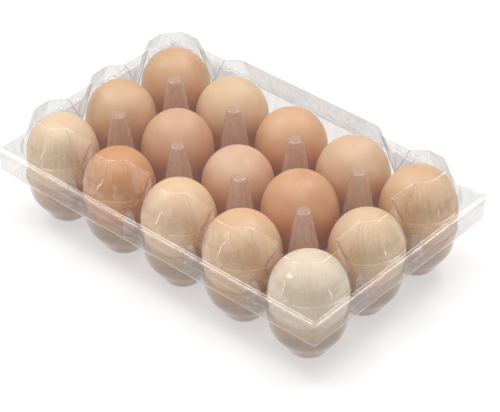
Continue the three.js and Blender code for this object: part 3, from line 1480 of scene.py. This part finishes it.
EGGS = (
    Egg(0, 0, 42.8, 59.6, (-0.9, -0.8), "#eacfae", "#e0bf98"),
    Egg(1, 0, 42.0, 57.6, (-1.3, -1.1), "#d8a06e", "#ca8b56"),
    Egg(2, 0, 43.0, 57.8, (-1.3, -1.2), "#eac9a4", "#dfb68e"),
    Egg(3, 0, 44.6, 59.0, (-0.5, -0.6), "#e4bf97", "#dbae82"),
    Egg(4, 0, 44.6, 54.8, (0.7, 0.3), "#e5d3ba", "#dbc5a5"),
    Egg(0, 1, 42.8, 59.0, (0.4, 0.2), "#ddb994", "#d3a67c"),
    Egg(1, 1, 43.2, 58.8, (0.1, -0.2), "#d9ad8a", "#cf9b76"),
    Egg(2, 1, 42.4, 54.2, (0.5, 0.4), "#e0bb9c", "#d6a888"),
    Egg(3, 1, 44.6, 59.6, (0.2, 0.1), "#dba77e", "#cf9467"),
    Egg(4, 1, 43.2, 56.0, (2.2, 2.0), "#e3c5a2", "#d9b48c"),
    Egg(0, 2, 42.8, 58.0, (0.4, 0.5), "#dab28b", "#d09f74"),
    Egg(1, 2, 44.2, 57.0, (-0.1, 0.2), "#e2c5a1", "#d9b489"),
    Egg(2, 2, 43.0, 56.0, (-0.2, 0.3), "#dfb188", "#d49f72"),
    Egg(3, 2, 43.8, 57.2, (-0.4, 0.2), "#e2c09d", "#d8ae88"),
    Egg(4, 2, 44.8, 59.0, (1.0, 0.8), "#e0bb92", "#d6a97c"),
)

# How far apart the pigment patterns of two eggs are, in metres.
SEED_STEP = 0.31


@dataclass
class EggMaker:
    """Shapes the eggs with one node tree and stands them in their cups.

    Attributes:
        grid: Where the cups stand.
        rest: The height of the eggs' lower ends, in millimetres.
        bluntness: How much blunter an egg's upper end is than its lower one.
        unevenness: How strongly its sides depart from a true round.
        segments: How many sides an egg has.
        rings: How many rings of faces it has.
    """

    grid: CellGrid
    rest: float = 9.1
    bluntness: float = 0.13
    unevenness: float = 0.0035
    segments: int = 72
    rings: int = 48

    def form_tree(self) -> bpy.types.NodeTree:
        """Makes the node tree that turns a ball into an egg on its pointed end.

        Returns:
            The tree.
        """
        tree = bpy.data.node_groups.new("egg_form", "GeometryNodeTree")
        face = tree.interface
        face.new_socket("Start", in_out="INPUT", socket_type="NodeSocketGeometry")
        for name in ("Width", "Length", "Bluntness", "Unevenness", "Seed"):
            face.new_socket(name, in_out="INPUT", socket_type="NodeSocketFloat")
        face.new_socket("Finish", in_out="INPUT", socket_type="NodeSocketMaterial")
        face.new_socket("Egg", in_out="OUTPUT", socket_type="NodeSocketGeometry")
        graph = NodeGraph(tree)
        given = graph.add("NodeGroupInput").outputs
        ball = graph.add(
            "GeometryNodeMeshUVSphere", Segments=self.segments, Rings=self.rings, Radius=1.0
        )
        place = graph.add("GeometryNodeInputPosition").outputs[0]
        split = graph.add("ShaderNodeSeparateXYZ", Vector=place).outputs
        swell = graph.math("ADD", graph.math("MULTIPLY", split["Z"], given["Bluntness"]), 1.0)
        square = graph.math("MULTIPLY", given["Bluntness"], given["Bluntness"])
        widest = graph.math("ADD", graph.math("MULTIPLY", square, 0.5), 1.0)
        noise = graph.add(
            "ShaderNodeTexNoise",
            {"noise_dimensions": "4D"},
            Vector=place,
            W=given["Seed"],
            Scale=0.9,
            Detail=1.0,
        ).outputs["Fac"]
        wobble = graph.math("MULTIPLY", graph.math("SUBTRACT", noise, 0.5), given["Unevenness"])
        wobble = graph.math("ADD", graph.math("MULTIPLY", wobble, 6.0), 1.0)
        half = graph.math("MULTIPLY", given["Width"], 0.5)
        across = graph.math("MULTIPLY", graph.math("DIVIDE", swell, widest), half)
        across = graph.math("MULTIPLY", across, wobble)
        tall = graph.math("MULTIPLY", given["Length"], 0.5)
        upright = graph.math("MULTIPLY", graph.math("ADD", split["Z"], 1.0), tall)
        moved = graph.add(
            "ShaderNodeCombineXYZ",
            X=graph.math("MULTIPLY", split["X"], across),
            Y=graph.math("MULTIPLY", split["Y"], across),
            Z=upright,
        ).outputs[0]
        shaped = graph.add(
            "GeometryNodeSetPosition", Geometry=ball.outputs["Mesh"], Position=moved
        ).outputs[0]
        smooth = graph.add("GeometryNodeSetShadeSmooth", Geometry=shaped).outputs[0]
        real = graph.add("GeometryNodeRealizeInstances", Geometry=smooth).outputs[0]
        done = graph.add(
            "GeometryNodeSetMaterial", Geometry=real, Material=given["Finish"]
        ).outputs[0]
        tree.links.new(done, graph.add("NodeGroupOutput").inputs[0])
        return tree

    def build(
        self, egg: Egg, tree: bpy.types.NodeTree, finish: bpy.types.Material
    ) -> bpy.types.Object:
        """Builds one egg.

        Args:
            egg: Its sizes and place.
            tree: The form tree.
            finish: The shell's material.

        Returns:
            The finished object.
        """
        start = add_object("egg_start", bpy.data.meshes.new("egg_start"))
        values: dict[str, object] = {
            "Width": egg.width * MM,
            "Length": egg.length * MM,
            "Bluntness": self.bluntness,
            "Unevenness": self.unevenness,
            "Seed": egg.seed,
            "Finish": finish,
        }
        made = settle(start, tree, values, f"{egg.node}_shell", [])
        lean_x, lean_y = (math.radians(value) for value in egg.lean)
        stand = Vector((self.grid.x(egg.column), self.grid.y(egg.row), self.rest)) * MM
        lean = Euler((-lean_y, lean_x, 0.0)).to_matrix().to_4x4()
        made.data.transform(Matrix.Translation(stand) @ lean)
        return made


@dataclass(frozen=True)
class Camera:
    """The photograph's camera, from a fit to the box's grid, in millimetres."""

    azimuth: float = 42.73
    elevation: float = 37.18
    roll: float = -1.29
    target: tuple[float, float, float] = (17.41, -5.11, 35.94)
    distance: float = 1211.4
    focal_pixels: float = 2128.7
    picture: tuple[int, int] = (500, 412)
    centre: tuple[float, float] = (254.27, 205.81)
    sensor: float = 36.0

    def build(self) -> bpy.types.Object:
        """Sets up the scene's camera.

        Returns:
            The camera.
        """
        turn, tilt, roll = (math.radians(v) for v in (self.azimuth, self.elevation, self.roll))
        back = Vector(
            (math.sin(turn) * math.cos(tilt), -math.cos(turn) * math.cos(tilt), math.sin(tilt))
        )
        right = Vector((math.cos(turn), math.sin(turn), 0.0))
        up = back.cross(right)
        right, up = (
            right * math.cos(roll) + up * math.sin(roll),
            up * math.cos(roll) - right * math.sin(roll),
        )
        place = (Vector(self.target) + back * self.distance) * MM
        data = bpy.data.cameras.new("camera")
        data.sensor_width = self.sensor
        data.lens = self.sensor * self.focal_pixels / self.picture[0]
        data.shift_x = (self.picture[0] / 2 - self.centre[0]) / self.picture[0]
        data.shift_y = (self.centre[1] - self.picture[1] / 2) / self.picture[0]
        data.clip_end = 10.0
        obj = bpy.data.objects.new("camera", data)
        bpy.context.scene.collection.objects.link(obj)
        rotation = Matrix((right, up, back)).transposed().to_4x4()
        obj.matrix_world = Matrix.Translation(place) @ rotation
        bpy.context.scene.camera = obj
        return obj


@dataclass(frozen=True)
class Softbox:
    """A studio softbox: where it stands, what it is aimed at and how strong it is."""

    name: str
    place: tuple[float, float, float]
    size: tuple[float, float]
    power: float
    aim: tuple[float, float, float] = (0.0, 0.0, 0.04)

    def build(self) -> bpy.types.Object:
        """Adds the light.

        Returns:
            The light.
        """
        data = bpy.data.lights.new(self.name, "AREA")
        data.shape = "RECTANGLE"
        data.size, data.size_y = self.size
        data.energy = self.power
        obj = bpy.data.objects.new(self.name, data)
        bpy.context.scene.collection.objects.link(obj)
        obj.location = self.place
        way = Vector(self.aim) - Vector(self.place)
        obj.rotation_euler = way.to_track_quat("-Z", "Y").to_euler()
        return obj


@dataclass
class Studio:
    """White floor, soft light and the camera."""

    boxes: tuple[Softbox, ...] = (
        Softbox("key_softbox", (0.08, 0.82, 1.15), (0.6, 0.5), 9.0),
        Softbox("overhead_softbox", (0.1, -0.1, 1.5), (1.2, 1.0), 12.5),
        Softbox("left_softbox", (-0.73, -0.22, 1.12), (0.5, 0.6), 8.0),
        Softbox("front_strip", (0.55, -1.0, 0.75), (0.04, 0.7), 0.5),
        Softbox("left_strip", (-0.45, -1.15, 0.4), (0.05, 0.9), 0.9),
        Softbox("right_strip", (1.2, 0.1, 0.38), (0.05, 0.9), 0.9),
    )
    world_strength: float = 0.38
    floor_size: float = 8.0
    floor_drop: float = 0.0002
    see_through_bounces: int = 32

    def build(self) -> None:
        """Sets up floor, world and lights."""
        bpy.ops.mesh.primitive_plane_add(
            size=self.floor_size, location=(0, 0, -self.floor_drop)
        )
        floor = bpy.context.active_object
        floor.name = "studio_floor"
        floor.data.materials.append(FloorFinish().build())
        world = bpy.data.worlds.new("studio_world")
        bpy.context.scene.world = world
        world.use_nodes = True
        background = world.node_tree.nodes["Background"].inputs
        background["Color"].default_value = WHITE
        background["Strength"].default_value = self.world_strength
        for softbox in self.boxes:
            softbox.build()
        bpy.context.scene.view_settings.view_transform = "Standard"
        bpy.context.scene.cycles.transparent_max_bounces = self.see_through_bounces
        Camera().build()


def triangles(obj: bpy.types.Object) -> int:
    """How many triangles an object's mesh has."""
    obj.data.calc_loop_triangles()
    return len(obj.data.loop_triangles)


def place(obj: bpy.types.Object, body: Body, node: str, slot: str) -> None:
    """Hangs a finished piece on the body that it rides on and hides the CAD node that it stands
    for.

    Args:
        obj: The piece.
        body: The body that it rides on.
        node: The CAD node that it stands for.
        slot: Its material slot; not used.
    """
    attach(obj, body.value)
    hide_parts(node)
    LOG.info("%s: %d triangles, rides on %s", obj.name, triangles(obj), body.value)


def main() -> None:
    """Builds the whole scene in order."""
    logging.basicConfig(level=logging.INFO, format="%(message)s")
    grid = CellGrid()
    rim = Rim()
    tray_film = FilmFinish(
        "clear_pet_tray_film",
        "#f1f0f0",
        "#d3cbc7",
        crinkle=((41.0, 45.4),),
        # Painted shade low in the cups, and painted warm light from the eggs above it.
        painted_cup_light=((2.0, "#e0dcdb"), (9.0, "#ebe0d6"), (27.0, "#f6e9d8"), (32.0, "#ffffff")),
        # A painted warm reflection of the eggs, on the pillars.
        inner="#ffdac0",
        inner_haze=0.31,
        # The scattered light is darker low down as painted shade, and warm as painted light from
        # the eggs.
        milk_and_painted_light=((3.0, "#c2b7b8"), (12.0, "#d6c4b0"), (29.0, "#e6d1b6"), (33.0, "#efeeed")),
        cloud=((4.0, "#909090"), (20.0, "#565656"), (33.0, "#000000")),
        streaks=0.09,
        streak_heights=(36.0, 68.0),
    )
    lid_film = FilmFinish(
        "clear_pet_lid_film",
        "#f3f3f3",
        "#adadae",
        haze=0.015,
        crinkle=((70.7, 71.75), (49.95, 53.5)),
        streaks=0.13,
    )
    place(Tray(grid, rim).build(tray_film.build()), Body.TRAY, "tray", "tray_film")
    place(Lid(grid, rim).build(lid_film.build()), Body.LID, "lid", "lid_film")
    maker = EggMaker(grid)
    tree = maker.form_tree()
    for number, egg in enumerate(EGGS):
        seed = SEED_STEP * number
        shell = ShellFinish(f"brown_eggshell_{number + 1}", egg.tone, egg.warm, seed)
        made = maker.build(egg, tree, shell.build())
        place(made, Body.TRAY, egg.node, f"shell_{egg.node[4:]}")
    Studio().build()


if __name__ == "__main__":
    main()
